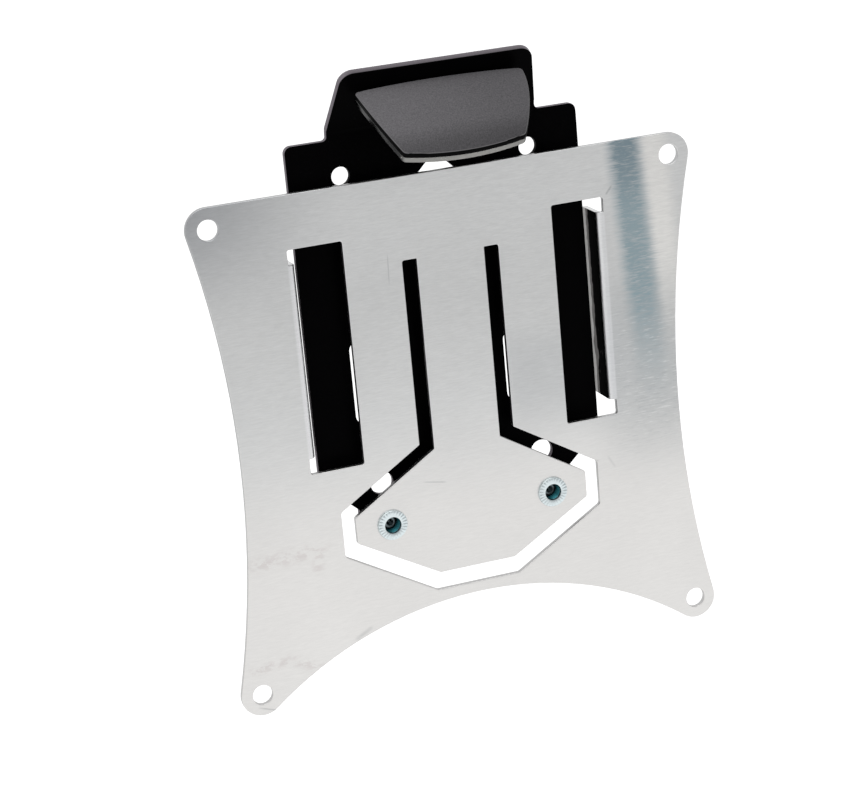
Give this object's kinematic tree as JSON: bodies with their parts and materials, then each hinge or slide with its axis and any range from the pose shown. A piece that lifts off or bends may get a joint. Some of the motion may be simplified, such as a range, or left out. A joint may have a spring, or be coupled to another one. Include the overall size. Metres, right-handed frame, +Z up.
{
  "type": "motorcycle tail tidy",
  "caption": "Tail tidy for a motorcycle: a scalloped aluminium number plate carrier on a black sheet steel bracket, with a small plate lamp at the top.",
  "frame": {"origin": "half way between the two tail bolt holes in the bracket's ears, on the bracket's rear-facing side", "axes": "+X to the right as the number plate is read, +Y forward into the motorcycle, +Z up the number plate"},
  "size_m": [0.177, 0.0408, 0.2145],
  "materials": {
    "carrier_aluminium": "satin",
    "bracket_black": "satin",
    "zinc_plated_steel": "satin",
    "light_housing_plastic": "matte",
    "light_lens_clear": "clear",
    "circuit_board": "matte",
    "light_chip": "gloss",
    "black_rubber": "matte"
  },
  "bodies": {
    "root": {"plate_carrier": "carrier_aluminium", "tail_bracket": "bracket_black", "rivet_nut_left": "zinc_plated_steel", "link_bolt_left": "zinc_plated_steel", "link_washer_left": "zinc_plated_steel", "light_stud_left": "zinc_plated_steel", "light_nut_left": "zinc_plated_steel", "rivet_nut_right": "zinc_plated_steel", "link_bolt_right": "zinc_plated_steel", "link_washer_right": "zinc_plated_steel", "light_stud_right": "zinc_plated_steel", "light_nut_right": "zinc_plated_steel", "light_housing": "light_housing_plastic", "light_lens": "light_lens_clear", "light_circuit_board": "circuit_board", "light_chip_left": "light_chip", "light_chip_middle": "light_chip", "light_chip_right": "light_chip", "light_gasket": "black_rubber", "cable_grommet": "black_rubber"}
  },
  "joints": []
}
